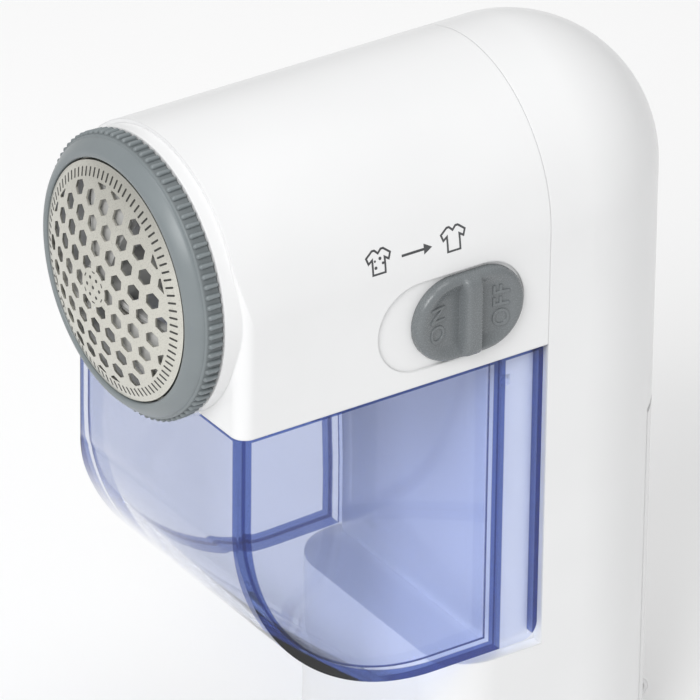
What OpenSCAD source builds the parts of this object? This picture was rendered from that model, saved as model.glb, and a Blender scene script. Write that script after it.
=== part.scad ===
// Battery fabric shaver: round shaving head with a domed foil and a turning ring, a white head
// housing over a slide-off lint container, a slide switch, and a handle that holds two AA cells.
// Frame: +Z up, origin at the middle of the flat base, the foil faces -X, the switch is on -Y.
// Most shapes are written in the head's own frame: X runs back from the foil's rim plane, and
// Y = Z = 0 is the axis of the head. in_head() carries them to the part's frame.

/* [Overall] */
// Width of the body, side to side
body_w = 49.4; // [46:0.2:58]
// Height of the head's axis above the base
axis_h = 112; // [104:0.5:134]
// Distance from the foil's rim to the centre line of the rounded back
back_x = 76; // [74:0.5:90]
// Wall of the white shells
wall = 2; // [1.6:0.1:2.4]

/* [Head housing] */
// Distance from the foil's rim to the front wall
front_x = 7.75; // [7:0.05:9]
// Distance from the foil's rim to the parting line with the handle
parting_x = 67.5; // [66:0.5:72]
// How far the straight sides reach below the head's axis
side_drop = 20.5; // [20:0.1:22]
// Radius of the upright front corners
corner_r = 2.6; // [1:0.1:4]
// How far the collar stays inside the ring's ribs
collar_step = 0.2; // [0.1:0.1:0.8]
// How far the bore of the cutter chamber stays inside the foil's rim
chamber_step = 1.8; // [1.5:0.1:2.2]
// Depth of the cutter chamber, measured from the foil's rim
chamber_x = 16; // [15:0.5:18]

/* [Foil and ring] */
// Radius of the foil where it meets the ring
foil_r = 20; // [19.6:0.1:20.4]
// Height of the foil's dome
foil_rise = 4.2; // [3:0.1:5]
// Thickness of the foil
foil_t = 0.35; // [0.25:0.05:0.5]
// Hole size across flats
hole_af = 2.5; // [1.8:0.1:2.8]
// Distance between holes
hole_pitch = 4.02; // [3.8:0.01:4.4]
// Plain margin between the holes and the foil's rim
hole_margin = 2.9; // [2.6:0.1:5]
// Radius of the plain rosette in the middle
rosette_r = 3.3; // [2.5:0.1:3.6]
// How far the ring stands out beyond the foil, over its ribs
ring_t = 4.2; // [3.8:0.1:4.4]
// Back face of the ring
ring_x = 5.2; // [4.8:0.1:5.6]
// Number of ribs round the ring
ring_ribs = 88; // [60:1:100]

/* [Lint container] */
// Wall of the container
tub_wall = 1.8; // [1.4:0.1:2.4]
// Depth of the container below the housing
tub_depth = 55; // [45:0.5:58]
// Radius of the container's curved nose
tub_nose_r = 38.3; // [25:0.1:38.5]
// Back face of the container's rear wall
tub_back_x = 59; // [56:0.1:60]
// How far the container slides out
tub_travel = 45; // [30:1:46]

/* [Handle] */
// Front of the foot under the container
foot_x = 49; // [47:0.5:56]
// Gap between the container and the foot
foot_gap = 1.7; // [1:0.1:4]
// Height and inset of the plinth round the base
plinth = 1.2; // [0.8:0.1:2]
// Half width of the battery cover
cover_hw = 18.4; // [16:0.1:18.8]
// Lower edge of the battery cover above the base
cover_z = 6; // [5:0.5:9]
// Height of the battery cover
cover_h = 62; // [61:0.5:64]

/* [Switch] */
// Length of the switch knob
knob_l = 21.2; // [18:0.2:24]
// Height of the switch knob
knob_h = 15; // [12:0.2:16]
// How far the knob stands out of the housing
knob_proud = 2.3; // [1.5:0.1:3]
// Centre of the knob behind the foil's rim, switched off
knob_x = 51.2; // [49:0.1:53]
// Centre of the knob below the head's axis
knob_drop = 9.6; // [9.4:0.1:10.2]
// Travel of the knob
knob_travel = 6; // [4:0.5:7]

/* [Motor] */
// Radius of the motor's can
motor_r = 12; // [11:0.1:12.4]
// Length of the motor's can
motor_l = 27; // [24:0.5:28]
// Radius of the shaft
shaft_r = 1; // [0.8:0.05:1.25]

/* [Cells] */
// Diameter of an AA cell
cell_d = 14.5; // [13.7:0.1:14.5]
// Length of an AA cell over its terminal
cell_l = 50.5; // [49.5:0.1:50.5]

/* [Fits] */
// Gap between parts that slide or part
gap = 0.3; // [0.2:0.05:0.4]
// Radial running clearance of a shaft
run_gap = 0.05; // [0.03:0.01:0.1]

/* [Hidden] */
$fn = 96;
eps = 0.01;
far = 200;

body_r = body_w / 2;
base_z = -axis_h;

// Foil, ring and nose
foil_sphere_r = (foil_r * foil_r + foil_rise * foil_rise) / (2 * foil_rise);
foil_centre_x = foil_sphere_r - foil_rise;
foil_skirt = 2.4;
ring_r = foil_r + ring_t;
ring_inner_r = foil_r + gap;
ring_lip_x = -0.2;
nose_r = foil_r + 1.5;
nose_x = 3.4;
spigot_r = foil_r - foil_t - 0.25;
spigot_x = 0.6;
ring_bore_r = nose_r + 2 * run_gap;
ring_shoulder_x = foil_skirt - foil_t - 0.05;
ring_rib_h = 0.55;
ring_rib_x = 2.3;
hole_row = hole_pitch * sqrt(3) / 2;
hole_r = hole_af / sqrt(3);
hole_field_r = foil_r - hole_margin;
collar_r = ring_r - collar_step;
chamber_r = foil_r - chamber_step;

// Cutter
blade_gap = 0.35;
cutter_sphere_r = foil_sphere_r - foil_t - blade_gap;
cutter_r = chamber_r - 0.9;
blade_count = 3;
blade_t = 0.5;
arm_angle = 44;
arm_t = 1.4;
hub_r = 4.2;
hub_x = 12.5;

// Motor
bulkhead_t = 2.2;
bulkhead_boss_r = 2.1;
bulkhead_boss_at = body_r - wall - bulkhead_boss_r + 0.15;
bulkhead_screw_angles = [90, 205, 335];
port_hw = 11;
port_margin = 0.6;
motor_x = chamber_x + bulkhead_t;
motor_end_x = motor_x + motor_l;
can_t = 0.6;
flats = motor_r - 2.2;
end_cap_t = 3;
boss_r = 3.1;
boss_l = 1.8;
shaft_front_x = 7;
shaft_back_x = motor_end_x + end_cap_t + boss_l + 0.6;
bush_l = 3;
bush_seat = 1.4;
magnet_t = 2;
air_gap = 0.4;
core_r = flats - can_t - air_gap;
core_x0 = motor_x + 5.5;
core_x1 = motor_end_x - 7;
commutator_r = 2.9;
commutator_l = 4;
brush_at = 6.8;
motor_screw_at = 7.8;
motor_screw_r = 0.95;

// Switch
knob_z = -knob_drop;
track_depth = 0.4;
track_rim = 0.5;
knob_seat_y = -body_r + track_depth - 0.05;
track_x0 = knob_x - knob_l / 2 - knob_travel - track_rim;
track_x1 = knob_x + knob_l / 2 + track_rim;
stem_l = 6;
stem_h = 4.4;
slot_x0 = knob_x - stem_l / 2 - knob_travel - gap;
slot_x1 = knob_x + stem_l / 2 + gap;
slider_y = -body_r + wall + 0.2;
slider_t = 1.4;
stem_depth = slider_y - knob_seat_y;
slider_hl = 5.5;
slider_hh = 3.6;
case_y0 = slider_y + slider_t + 0.2;
case_y1 = case_y0 + 4.6;
case_l = 18;
case_h = 9;

// Lint container
tub_top = -side_drop - 0.2;
tub_bottom = -side_drop - tub_depth;
notch_r = ring_r + gap;
flange_x = parting_x - 1;
cheek_r = 3;
nub_r = 0.8;
nub_x = tub_back_x + 1.2;
nub_z = tub_top - 5.4;
groove_t = 0.7;

// Handle
neck_hw = body_r - tub_wall - gap;
neck_x = tub_back_x + 0.6;
neck_top = -side_drop - 0.1;
foot_top = tub_bottom - foot_gap;
flange_t = 2;
post_r = 3;
post_y = body_r - wall - post_r + 0.2;
post_z = -side_drop + wall + post_r - 0.2;
post_l = 8.5;
screw_r = 1.25;
screw_head_r = 2.4;

// Battery cover and its hinge
cover_bottom = base_z + cover_z;
cover_top = cover_bottom + cover_h;
hinge_r = 1.8;
hinge_pin_r = 1;
hinge_x = back_x + body_r - hinge_r;
hinge_z = cover_bottom + hinge_r;
hinge_hw = 9.5;
knuckle_hw = 3.8;
cover_top_gap = 0.9;

// Cells and their tray
cell_r = cell_d / 2;
cell_y = cell_r + 0.35;
cell_x = back_x + 5.2;
contact_t = 0.4;
tray_t = 1.5;
tray_floor = base_z + wall + 3.1;
tray_span = cell_l + 3;
tray_ceiling = tray_floor + tray_span;
tray_hw = cell_y + cell_r + 0.35;
tray_x0 = cell_x - cell_r - 0.3 - tray_t;
tray_x1 = cell_x + 5;
bridge_hl = 4.8;
nub_h = 1;

// Leads
lead_r = 0.65;
lead_top = tray_ceiling + tray_t;
lead_x = tray_x0 - 1.2;
tab_x = motor_end_x + end_cap_t + 2.6;
switch_mid = knob_x - knob_travel / 2;

// ---- helpers -----------------------------------------------------------------------------

// From the head's frame to the part's frame
module in_head() translate([-(foot_x + back_x + body_r) / 2, 0, axis_h]) children();

// A 2-D outline in the Y-Z plane, drawn out along X from x0 to x1
module along_x(x0, x1) translate([x0, 0, 0]) rotate([90, 0, 90]) linear_extrude(x1 - x0) children();

// A round bar along X
module bar_x(r, x0, x1, y = 0, z = 0)
    translate([x0, y, z]) rotate([0, 90, 0]) cylinder(r = r, h = x1 - x0);

// A tube along X
module tube_x(ro, ri, x0, x1) difference() {
    bar_x(ro, x0, x1);
    bar_x(ri, x0 - 1, x1 + 1);
}

// A block from its lowest to its highest corner
module block(lo, hi) translate(lo) cube(hi - lo);

// A 2-D stadium, centred, l long and h high
module stadium(l, h) {
    square([l - h, h], center = true);
    for (s = [-1, 1]) translate([s * (l - h) / 2, 0]) circle(h / 2);
}

// The arch of the head: a half round on straight sides that end at z = -drop
module arch(r, drop) {
    intersection() {
        circle(r);
        translate([-r - 1, 0]) square([2 * r + 2, r + 1]);
    }
    translate([-r, -drop]) square([2 * r, drop]);
}

// A plan outline from x0 to x1, hw to each side, with rounded front corners
module plan(x0, x1, hw, r) {
    translate([x0 + r, -hw]) square([x1 - x0 - r, 2 * hw]);
    translate([x0, -hw + r]) square([r + eps, 2 * (hw - r)]);
    for (s = [-1, 1]) translate([x0 + r, s * (hw - r)]) circle(r);
}

// A wound spring along Z: r0 and r1 are its radii at the bottom and top
function coil_point(i, n, r0, r1, h, turns, wire, a) =
    let (t = i / n, phi = 360 * turns * t, r = r0 + (r1 - r0) * t + wire * cos(a))
    [r * cos(phi), r * sin(phi), wire + (h - 2 * wire) * t + wire * sin(a)];

module coil(r0, r1, h, turns, wire, sides = 6) {
    n = ceil(turns * 16);
    points = [for (i = [0:n]) for (j = [0:sides - 1])
        coil_point(i, n, r0, r1, h, turns, wire, 360 * j / sides)];
    walls = [for (i = [0:n - 1]) for (j = [0:sides - 1])
        [i * sides + j, i * sides + (j + 1) % sides,
         (i + 1) * sides + (j + 1) % sides, (i + 1) * sides + j]];
    caps = [[for (j = [sides - 1:-1:0]) j], [for (j = [0:sides - 1]) n * sides + j]];
    polyhedron(points, concat([for (w = walls) [w[3], w[2], w[1], w[0]]],
        [for (c = caps) [for (k = [len(c) - 1:-1:0]) c[k]]]), convexity = 6);
}

// An insulated wire through a list of points: a ring of corners at each point, square to the way
function unit(v) = v / norm(v);
function way(p, i) = unit(p[min(i + 1, len(p) - 1)] - p[max(i - 1, 0)]);
function across(w) = unit(cross(w, [0.3, 1, 0.2]));
function wire_ring(p, i, r, sides) = let (w = way(p, i), u = across(w), v = cross(w, u))
    [for (j = [0:sides - 1]) p[i] + r * (cos(360 * j / sides) * u + sin(360 * j / sides) * v)];

module wire_run(points, r, sides = 8) {
    n = len(points) - 1;
    corners = [for (i = [0:n]) each wire_ring(points, i, r, sides)];
    walls = [for (i = [0:n - 1]) for (j = [0:sides - 1])
        [i * sides + j, (i + 1) * sides + j, (i + 1) * sides + (j + 1) % sides,
         i * sides + (j + 1) % sides]];
    caps = [[for (j = [0:sides - 1]) j], [for (j = [sides - 1:-1:0]) n * sides + j]];
    polyhedron(corners, concat(walls, caps), convexity = 6);
}

// ---- head housing ------------------------------------------------------------------------

module housing_block(inset, x0, x1, drop) intersection() {
    along_x(x0, x1) arch(body_r - inset, drop);
    translate([0, 0, -far / 2]) linear_extrude(far)
        plan(x0, x1 + 1, body_r - inset, max(corner_r - inset, 0.5));
}

// The shallow track that the knob slides in, and the slot for its stem
module switch_track() {
    translate([(track_x0 + track_x1) / 2, -body_r + track_depth, knob_z]) rotate([90, 0, 0])
        linear_extrude(wall) stadium(track_x1 - track_x0, knob_h + 2 * track_rim);
    block([slot_x0, -body_r - 1, knob_z - stem_h / 2 - gap],
          [slot_x1, -body_r + wall + 1, knob_z + stem_h / 2 + gap]);
}

module head_housing() color("white") in_head() {
    difference() {
        union() {
            difference() {
                housing_block(0, front_x, parting_x, side_drop);
                housing_block(wall, front_x + wall, parting_x + 2, side_drop - wall);
            }
            // Collar, shoulder and spigot that the ring and the foil sit on
            bar_x(collar_r, ring_x + 0.1, front_x + wall);
            bar_x(nose_r, nose_x, ring_x + 1);
            bar_x(spigot_r, spigot_x, nose_x + 1);
            intersection() {
                bar_x(chamber_r + wall, front_x, chamber_x);
                block([0, -far, -side_drop], [far, far, far]);
            }
            // Bosses for the bulkhead's screws
            for (a = bulkhead_screw_angles) rotate([a, 0, 0]) intersection() {
                bar_x(bulkhead_boss_r, front_x, chamber_x, bulkhead_boss_at);
                bar_x(body_r - wall / 2, front_x, chamber_x);
            }
            // Posts for the screws that hold the handle
            for (s = [-1, 1]) bar_x(post_r, parting_x - post_l, parting_x, s * post_y, post_z);
        }
        bar_x(chamber_r, -1, chamber_x + 1);
        // Port in the floor: the lint drops through it into the container
        block([front_x + wall + port_margin, -port_hw, -side_drop - 1],
              [chamber_x - port_margin, port_hw, -port_hw]);
        for (a = bulkhead_screw_angles) rotate([a, 0, 0])
            bar_x(motor_screw_r, chamber_x - 5, chamber_x + 1, bulkhead_boss_at);
        for (s = [-1, 1]) bar_x(screw_r, parting_x - post_l + 1.5, parting_x + 1, s * post_y, post_z);
        switch_track();
    }
}

// ---- handle ------------------------------------------------------------------------------

// The upper and rear form of the handle, inset from its outer face
module handle_form(inset, x0, z0) {
    along_x(x0, back_x) arch(body_r - inset, -z0);
    intersection() {
        translate([back_x, 0, z0]) cylinder(r = body_r - inset, h = -z0);
        block([back_x, -far, z0 - 1], [far, far, 1]);
    }
    intersection() {
        translate([back_x, 0, 0]) sphere(body_r - inset);
        block([back_x, -far, 0], [far, far, far]);
    }
}

// The foot under the container, inset from its outer face
module foot_form(inset, z0, z1) translate([0, 0, z0]) linear_extrude(z1 - z0) {
    plan(foot_x + inset, parting_x + 1, body_r - inset, 9 - inset);
}

module cover_window(hw, z0, z1) block([back_x + 6, -hw, z0], [far, hw, z1]);

module handle_shell() color("white") in_head() {
    difference() {
        union() {
            handle_form(0, parting_x, base_z + plinth);
            foot_form(0, base_z + plinth, foot_top);
            block([neck_x, -neck_hw, foot_top - 1], [parting_x + 1, neck_hw, neck_top]);
            // Plinth
            foot_form(plinth, base_z, base_z + plinth + 1);
            handle_form_plinth();
        }
        difference() {
            union() {
                handle_form(wall, parting_x + flange_t, base_z + wall);
                foot_form(wall, base_z + wall, foot_top - wall);
                block([neck_x + wall, -neck_hw + wall, base_z + wall],
                      [parting_x + flange_t + 1, neck_hw - wall, neck_top - wall]);
            }
            // Lugs that the handle's screws pass through
            for (s = [-1, 1]) bar_x(post_r + 0.8, parting_x, parting_x + flange_t, s * post_y, post_z);
            // Middle knuckle of the cover's hinge, on the floor of the handle
            hinge_knuckle(knuckle_hw, 0);
        }
        // Way through to the head housing above the neck
        along_x(parting_x - 1, parting_x + flange_t + 1) difference() {
            arch(body_r - wall, side_drop - wall);
            for (s = [-1, 1]) translate([s * post_y, post_z]) circle(post_r + 0.8);
        }
        for (s = [-1, 1]) bar_x(screw_r + 0.15, parting_x - 1, parting_x + flange_t + 1, s * post_y, post_z);
        difference() {
            cover_window(cover_hw + gap, cover_bottom - gap, cover_top + cover_top_gap);
            hinge_knuckle(knuckle_hw, 0);
        }
        translate([hinge_x, -far / 2, hinge_z]) rotate([-90, 0, 0]) cylinder(r = hinge_pin_r, h = far);
        // Grooves that the container's nubs run in
        for (s = [0, 1]) mirror([0, s, 0])
            block([neck_x - 1, neck_hw - groove_t, nub_z - nub_r - 0.2],
                  [nub_x + nub_r + gap, neck_hw + eps, nub_z + nub_r + 0.2]);
    }
}

module handle_form_plinth() intersection() {
    union() {
        block([parting_x, -body_r + plinth, base_z], [back_x, body_r - plinth, base_z + plinth + 1]);
        translate([back_x, 0, base_z]) cylinder(r = body_r - plinth, h = plinth + 1);
    }
    block([parting_x, -far, base_z - 1], [far, far, base_z + plinth + 1]);
}

// One knuckle of the cover's hinge, hw to each side, grown by clear
module hinge_knuckle(hw, clear) {
    translate([hinge_x, -hw, hinge_z]) rotate([-90, 0, 0]) cylinder(r = hinge_r + clear, h = 2 * hw);
    block([hinge_x - hinge_r, -hw, base_z + wall - eps], [hinge_x + hinge_r, hw, hinge_z]);
}

module battery_cover() color("white") in_head() difference() {
    union() {
        difference() {
            intersection() {
                translate([back_x, 0, cover_bottom]) cylinder(r = body_r, h = cover_h);
                cover_window(cover_hw, cover_bottom, cover_top);
            }
            translate([back_x, 0, cover_bottom - 1]) cylinder(r = body_r - wall, h = cover_h + 2);
            // The wall stops at the hinge's axis across the barrel
            block([back_x, -hinge_hw, cover_bottom - 1], [far, hinge_hw, hinge_z]);
        }
        translate([hinge_x, -hinge_hw, hinge_z]) rotate([-90, 0, 0]) cylinder(r = hinge_r, h = 2 * hinge_hw);
    }
    // Room for the middle knuckle
    block([hinge_x - hinge_r - gap - 3, -knuckle_hw - gap, cover_bottom - 1],
          [far, knuckle_hw + gap, hinge_z + hinge_r + gap]);
    translate([hinge_x, -far / 2, hinge_z]) rotate([-90, 0, 0]) cylinder(r = hinge_pin_r + run_gap, h = far);
    // Finger ridges
    for (i = [0:4]) translate([0, 0, cover_top - 12 + i * 2]) difference() {
        block([back_x + 10, -7, -0.4], [far, 7, 0.4]);
        translate([back_x, 0, -1]) cylinder(r = body_r - 0.5, h = 2);
    }
}

module cover_hinge_pin() color("silver") in_head()
    translate([hinge_x, -hinge_hw, hinge_z]) rotate([-90, 0, 0]) cylinder(r = hinge_pin_r, h = 2 * hinge_hw);

// ---- foil and ring -----------------------------------------------------------------------

module hex_holes() for (row = [-5:5]) for (col = [-5:5]) {
    y = (col + (abs(row) % 2) / 2) * hole_pitch;
    z = row * hole_row;
    d = norm([y, z]);
    if (d > 0.1 && d < hole_field_r + hole_r * 0.7) along_x(-foil_rise - 3, foil_skirt) intersection() {
        translate([y, z]) rotate(30) circle(hole_r, $fn = 6);
        if (d < rosette_r + hole_r) difference() {
            circle(hole_field_r);
            circle(rosette_r);
        }
        if (d > hole_field_r - hole_r) circle(hole_field_r);
        if (d >= rosette_r + hole_r && d <= hole_field_r - hole_r)
            translate([y, z]) square(4 * hole_r, center = true);
    }
}

// A sphere about the dome's centre, its poles on the head's axis
module foil_sphere(r) translate([foil_centre_x, 0, 0]) rotate([0, 90, 0]) sphere(r);

module foil() color("gainsboro") in_head() difference() {
    union() {
        intersection() {
            difference() {
                foil_sphere(foil_sphere_r);
                foil_sphere(foil_sphere_r - foil_t);
            }
            bar_x(foil_r, -foil_rise - 1, foil_skirt);
            block([-far, -far, -far], [foil_t, far, far]);
        }
        tube_x(foil_r, foil_r - foil_t, 0, foil_skirt);
        tube_x(nose_r - 0.1, foil_r - foil_t, foil_skirt - foil_t, foil_skirt);
    }
    hex_holes();
}

module foil_clamp_ring() color("dimgray") in_head()
    tube_x(nose_r, foil_r - foil_t + 0.05, foil_skirt, nose_x - 0.1);

module ring_profile() polygon([
    [ring_inner_r, 0.35], [ring_inner_r + 0.35, ring_lip_x], [ring_inner_r + 0.9, ring_lip_x],
    [ring_r - ring_rib_h - 0.9, 1.3], [ring_r - ring_rib_h, ring_rib_x],
    [ring_r - ring_rib_h, ring_x], [ring_bore_r, ring_x], [ring_bore_r, ring_shoulder_x],
    [ring_inner_r, ring_shoulder_x]]);

module head_ring() color("slategray") in_head() {
    rotate([0, 90, 0]) rotate_extrude() ring_profile();
    for (i = [0:ring_ribs - 1]) rotate([i * 360 / ring_ribs, 0, 0])
        translate([ring_rib_x, 0, ring_r - ring_rib_h - 0.2]) intersection() {
            block([0.15, -0.45, 0], [ring_x - ring_rib_x - 0.15, 0.45, ring_rib_h + 0.2]);
            translate([0, 0, -0.25]) bar_x(0.8, -1, 6, 0, 0.2);
        }
}

// ---- cutter ------------------------------------------------------------------------------

module arm_sector(r, angle) {
    far_y = r * 1.4 * tan(angle / 2);
    polygon([[0, -1.2], [r * 1.4, -far_y], [r * 1.4, far_y], [0, 1.2]]);
}

// A shell that follows the foil's inside, t thick
module dome_shell(t) difference() {
    foil_sphere(cutter_sphere_r);
    foil_sphere(cutter_sphere_r - t);
}

module cutter_carrier() color("gray") in_head() difference() {
    union() {
        intersection() {
            union() for (i = [0:blade_count - 1])
                along_x(-foil_rise, 4) rotate(90 + i * 360 / blade_count) arm_sector(cutter_r, arm_angle);
            bar_x(cutter_r - 0.4, -foil_rise, 4);
            translate([blade_t, 0, 0]) dome_shell(arm_t);
        }
        bar_x(hub_r, blade_t - foil_rise + foil_t + blade_gap + 0.5, hub_x);
    }
    bar_x(shaft_r, shaft_front_x, hub_x + 1);
    blade_set();
}

// The blades lie along the leading edge of each arm and stand proud of it by their thickness
module blade_set() intersection() {
    union() for (i = [0:blade_count - 1]) rotate([i * 360 / blade_count + 90 - arm_angle / 2, 0, 0])
        block([-foil_rise, hub_r + 0.4, -0.1], [3.5, far, blade_t]);
    bar_x(cutter_r, -foil_rise, 4);
    dome_shell(arm_t);
}

module cutter_blades() color("silver") in_head() blade_set();

module cutter_spring() color("silver") in_head() translate([hub_x + 0.1, 0, 0]) rotate([0, 90, 0])
    coil(2.4, 2.4, chamber_x - hub_x - 0.3, 3, 0.25);

module drive_shaft() color("silver") in_head() bar_x(shaft_r, shaft_front_x, shaft_back_x);

// ---- motor -------------------------------------------------------------------------------

module can_outline(r, flat) intersection() {
    circle(r);
    square([2 * r, 2 * flat], center = true);
}

module motor_can() color("silver") in_head() difference() {
    union() {
        along_x(motor_x, motor_end_x) can_outline(motor_r, flats);
        bar_x(boss_r, motor_x - boss_l, motor_x + 1);
    }
    along_x(motor_x + can_t, motor_end_x + 1) can_outline(motor_r - can_t, flats - can_t);
    bar_x(boss_r - can_t, motor_x - boss_l + can_t, motor_x + 2);
    bar_x(shaft_r + 0.5, motor_x - boss_l - 1, motor_x + 2);
    for (s = [-1, 1]) bar_x(motor_screw_r, motor_x - 1, motor_x + 2, s * motor_screw_at);
}

module motor_magnets() color("dimgray") in_head() difference() {
    bar_x(motor_r - can_t, core_x0 - 1, core_x1 + 1);
    bar_x(motor_r - can_t - magnet_t, core_x0 - 2, core_x1 + 2);
    block([motor_x, -5, -far], [motor_end_x, 5, far]);
    for (s = [0, 1]) mirror([0, 0, s]) block([motor_x, -far, flats - can_t], [motor_end_x, far, far]);
}

module armature_core() color("gray") in_head() difference() {
    bar_x(core_r, core_x0, core_x1);
    for (a = [30, 150, 270]) rotate([a, 0, 0]) {
        block([core_x0 - 1, -0.9, 4], [core_x1 + 1, 0.9, far]);
        block([core_x0 - 1, -3, 4], [core_x1 + 1, 3, core_r - 1.6]);
    }
    bar_x(shaft_r, core_x0 - 1, core_x1 + 1);
}

module armature_windings() color("orange") in_head() intersection() {
    for (a = [30, 150, 270]) rotate([a, 0, 0])
        block([core_x0 - 1.4, -2.7, 4.3], [core_x1 + 1.4, 2.7, core_r - 1.9]);
    bar_x(core_r - 0.3, core_x0 - 3, core_x1 + 3);
}

module commutator() color("peru") in_head()
    tube_x(commutator_r, shaft_r, motor_end_x - commutator_l, motor_end_x - 0.4);

module motor_end_cap() color("ivory") in_head() difference() {
    union() {
        along_x(motor_end_x, motor_end_x + end_cap_t) can_outline(motor_r, flats);
        bar_x(boss_r, motor_end_x, motor_end_x + end_cap_t + boss_l);
    }
    bar_x(boss_r - can_t, motor_end_x + bush_seat, motor_end_x + end_cap_t + boss_l - can_t);
    bar_x(shaft_r + 0.5, motor_end_x - 1, motor_end_x + far);
    for (s = [-1, 1]) block([motor_end_x - 1, s * brush_at - 0.25, -1.5],
                            [motor_end_x + far, s * brush_at + 0.25, 1.5]);
}

module motor_brushes() color("goldenrod") in_head() for (s = [-1, 1]) {
    block([motor_end_x - 3, s * brush_at - 0.2, -1.3],
          [motor_end_x + end_cap_t + 3.5, s * brush_at + 0.2, 1.3]);
    block([motor_end_x - 3, min(s * 3, s * (brush_at - 0.1)), -1],
          [motor_end_x - 1.4, max(s * 3, s * (brush_at - 0.1)), 1]);
}

module bush(x0, l) tube_x(boss_r - can_t - 0.02, shaft_r + run_gap, x0, x0 + l);

module motor_bushes() color("peru") in_head() {
    bush(motor_x - boss_l + can_t, bush_l);
    bush(motor_end_x + bush_seat, end_cap_t + boss_l - can_t - bush_seat);
}

module motor_bulkhead() color("whitesmoke") in_head() along_x(chamber_x, motor_x) difference() {
    union() {
        circle(chamber_r + wall);
        for (a = bulkhead_screw_angles) rotate(a) intersection() {
            union() {
                translate([bulkhead_boss_at, 0]) circle(bulkhead_boss_r);
                translate([0, -bulkhead_boss_r]) square([bulkhead_boss_at, 2 * bulkhead_boss_r]);
            }
            circle(body_r - wall - gap);
        }
    }
    translate([-far, -far]) square([2 * far, far - side_drop + wall + gap]);
    circle(boss_r + 0.05);
    for (s = [-1, 1]) translate([s * motor_screw_at, 0]) circle(motor_screw_r + 0.1);
    for (a = bulkhead_screw_angles) rotate(a) translate([bulkhead_boss_at, 0]) circle(motor_screw_r + 0.1);
}

// A small screw along X; its head is at x, and dir is the way its point faces
module screw_x(x, y, z, r, head_r, head_t, l, dir) translate([x, y, z]) rotate([0, dir * 90, 0])
    difference() {
        union() {
            cylinder(r = r, h = l);
            translate([0, 0, -head_t]) cylinder(r = head_r, h = head_t);
        }
        for (a = [0, 90]) rotate(a) translate([-head_r * 0.6, -0.2, -head_t - 1])
            cube([head_r * 1.2, 0.4, 1 + head_t / 2]);
    }

module motor_screws() color("silver") in_head() for (s = [-1, 1])
    screw_x(chamber_x, s * motor_screw_at, 0, motor_screw_r, 1.8, 0.9, bulkhead_t + can_t + 0.8, 1);

module bulkhead_screws() color("silver") in_head() for (a = bulkhead_screw_angles) rotate([a, 0, 0])
    screw_x(motor_x, bulkhead_boss_at, 0, motor_screw_r, 1.8, 1, bulkhead_t + 4, -1);

// ---- switch ------------------------------------------------------------------------------

module switch_knob() color("slategray") in_head() translate([knob_x, knob_seat_y, knob_z]) rotate([90, 0, 0])
    difference() {
        union() {
            linear_extrude(1.1) stadium(knob_l, knob_h);
            translate([0, 0, 1.1]) linear_extrude(0.6) stadium(knob_l - 1.2, knob_h - 1.2);
            translate([0, 0, 1.7]) linear_extrude(knob_proud - 1.4) stadium(knob_l - 3, knob_h - 3);
            // Finger rib across the middle
            translate([-2, -knob_h / 2 + 0.6, 0]) cube([4, knob_h - 1.2, knob_proud + 0.9]);
            translate([-stem_l / 2, -stem_h / 2, -stem_depth]) cube([stem_l, stem_h, stem_depth + eps]);
        }
        // Scooped faces beside the rib
        for (s = [-1, 1]) translate([s * 7.6, 0, knob_proud + 12.4]) rotate([90, 0, 0])
            cylinder(r = 13.2, h = knob_h - 4.5, center = true);
    }

module switch_slider() color("black") in_head()
    block([knob_x - slider_hl, slider_y, knob_z - slider_hh],
          [knob_x + slider_hl, slider_y + slider_t, knob_z + slider_hh]);

module switch_case() color("dimgray") in_head() difference() {
    block([switch_mid - case_l / 2, case_y0, knob_z - case_h / 2],
          [switch_mid + case_l / 2, case_y1, knob_z + case_h / 2]);
    for (i = [-1:1]) block([switch_mid + i * 6 - 0.9, case_y1 - 2, knob_z - 0.35],
                           [switch_mid + i * 6 + 0.9, case_y1 + 1, knob_z + 0.35]);
}

module switch_terminals() color("goldenrod") in_head() for (i = [-1:1])
    block([switch_mid + i * 6 - 0.8, case_y1 - 1.8, knob_z - 0.3],
          [switch_mid + i * 6 + 0.8, case_y1 + 2.6, knob_z + 0.3]);

// ---- lint container ----------------------------------------------------------------------

// Side outline in X-Z: upright front, curved nose, level bottom
module tub_side(inset, top) {
    x0 = front_x + inset;
    z0 = tub_bottom + inset;
    r = tub_nose_r - inset;
    x1 = tub_back_x - inset;
    intersection() {
        translate([x0, z0]) square([x1 - x0, top - z0]);
        union() {
            translate([x0 + r, z0 + r]) circle(r, $fn = 180);
            translate([x0 + r, z0]) square([far, far]);
            translate([x0, z0 + r]) square([far, far]);
        }
    }
}

module tub_form(inset, top, hw) translate([0, hw, 0]) rotate([90, 0, 0]) linear_extrude(2 * hw)
    tub_side(inset, top);

// Outline in X-Z of the cheeks, with a rounded lower corner
module cheek_side() {
    translate([tub_back_x - 4, tub_bottom])
        square([flange_x - cheek_r - tub_back_x + 4, tub_top - tub_bottom]);
    translate([tub_back_x, tub_bottom + cheek_r])
        square([flange_x - tub_back_x, tub_top - tub_bottom - cheek_r]);
    translate([flange_x - cheek_r, tub_bottom + cheek_r]) circle(cheek_r);
}

module lint_container() color([0.45, 0.5, 0.9, 0.5]) in_head() difference() {
    union() {
        intersection() {
            tub_form(0, tub_top, body_r);
            translate([0, 0, -far / 2]) linear_extrude(far) plan(front_x, far, body_r, corner_r);
        }
        // Cheeks that reach back over the neck of the handle
        for (s = [-1, 1]) translate([0, s * body_r + (s > 0 ? 0 : tub_wall), 0]) rotate([90, 0, 0])
            linear_extrude(tub_wall) cheek_side();
        for (s = [-1, 1]) translate([nub_x, s * (body_r - tub_wall), nub_z]) sphere(nub_r, $fn = 48);
    }
    tub_form(tub_wall, far, body_r - tub_wall);
    bar_x(notch_r, front_x - 1, front_x + tub_wall + eps);
}

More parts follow.
